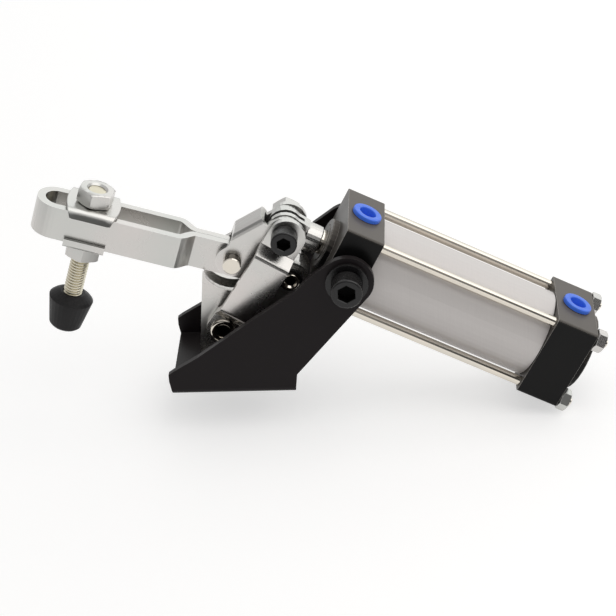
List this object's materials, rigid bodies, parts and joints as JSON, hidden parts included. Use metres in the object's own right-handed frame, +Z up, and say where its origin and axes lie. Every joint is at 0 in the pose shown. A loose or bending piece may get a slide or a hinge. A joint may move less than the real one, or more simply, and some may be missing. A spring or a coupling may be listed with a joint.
{
  "type": "pneumatic toggle clamp",
  "caption": "Pneumatic toggle clamp: an air cylinder on trunnions drives a toggle linkage that swings a U-bar with a rubber-tipped spindle down onto work.",
  "frame": {"origin": "centre of the base channel's underside", "axes": "+Z up from the mounting face, +X towards the cylinder, the clamping bar points along -X, Y across the clamp"},
  "size_m": [0.2751, 0.0822, 0.1201],
  "materials": {
    "black_paint": "satin black paint",
    "zinc": "bright zinc plate on pressed steel",
    "bright_steel": "ground bright steel",
    "black_screw": "black oxide",
    "black_aluminium": "black anodised",
    "satin_aluminium": "satin anodised",
    "blue_plastic": "moulded",
    "black_rubber": "matte"
  },
  "bodies": {
    "frame": {"base_channel": "black_paint", "post_near": "zinc", "post_far": "zinc", "foot_rivet_1": "zinc", "foot_rivet_2": "zinc", "foot_rivet_3": "zinc", "foot_rivet_4": "zinc", "bar_pivot_pin": "bright_steel", "bar_pivot_washer_near": "zinc", "bar_pivot_washer_far": "zinc", "bar_pivot_clip_near": "black_screw", "bar_pivot_clip_far": "black_screw", "link_pivot_pin": "bright_steel"},
    "link": {"link_near": "zinc", "link_far": "zinc", "link_top_screw": "black_screw", "link_top_nut": "zinc"},
    "knuckle": {"knuckle_channel": "zinc", "knuckle_rivet": "bright_steel"},
    "bar": {"u_bar": "zinc", "saddle_washer_top": "zinc", "saddle_washer_bottom": "zinc", "spindle": "zinc", "upper_nut": "zinc", "lower_nut": "zinc", "rubber_cap": "black_rubber"},
    "cylinder": {"front_head": "black_aluminium", "rear_cap": "black_aluminium", "tube": "satin_aluminium", "tie_rod_1": "bright_steel", "tie_rod_2": "bright_steel", "tie_rod_3": "bright_steel", "tie_rod_4": "bright_steel", "tie_nut_1": "zinc", "tie_nut_2": "zinc", "tie_nut_3": "zinc", "tie_nut_4": "zinc", "port_fitting_front": "blue_plastic", "port_fitting_rear": "blue_plastic", "rod_bush": "black_aluminium", "rod_seal": "black_rubber", "trunnion_screw_near": "black_screw", "trunnion_screw_far": "black_screw", "trunnion_washer_near": "black_screw", "trunnion_washer_far": "black_screw"},
    "rod": {"piston_rod": "bright_steel", "piston": "satin_aluminium", "piston_seal_1": "black_rubber", "piston_seal_2": "black_rubber", "piston_nut": "zinc", "rod_fork": "zinc"}
  },
  "joints": [
    {"name": "link_swing", "type": "hinge", "parent": "frame", "child": "link", "pos_m": [-0.0049, 0, 0.0253], "axis": [0, 1, 0], "range_deg": [-24, 1.5]},
    {"name": "knuckle_swing", "type": "hinge", "parent": "link", "child": "knuckle", "pos_m": [0.0273, 0, 0.07545], "axis": [0, 1, 0], "range_deg": [-29.3, 1.84]},
    {"name": "bar_swing", "type": "hinge", "parent": "frame", "child": "bar", "pos_m": [0.0291, 0, 0.0513], "axis": [0, 1, 0], "range_deg": [-14.9, 0.94]},
    {"name": "cylinder_swing", "type": "hinge", "parent": "frame", "child": "cylinder", "pos_m": [0.0567, 0, 0.0602], "axis": [0, 1, 0], "range_deg": [-1.81, 0.12]},
    {"name": "rod_slide", "type": "slide", "parent": "cylinder", "child": "rod", "axis": [0.8877, 0, -0.4604], "range_m": [-0.02475, 0.00156]}
  ],
  "couplings": [
    {"joint": "knuckle_swing", "follows": "link_swing", "ratio": 1.22},
    {"joint": "bar_swing", "follows": "link_swing", "ratio": 0.62},
    {"joint": "cylinder_swing", "follows": "link_swing", "ratio": 0.075},
    {"joint": "rod_slide", "follows": "link_swing", "m_per_rad": 0.059}
  ]
}
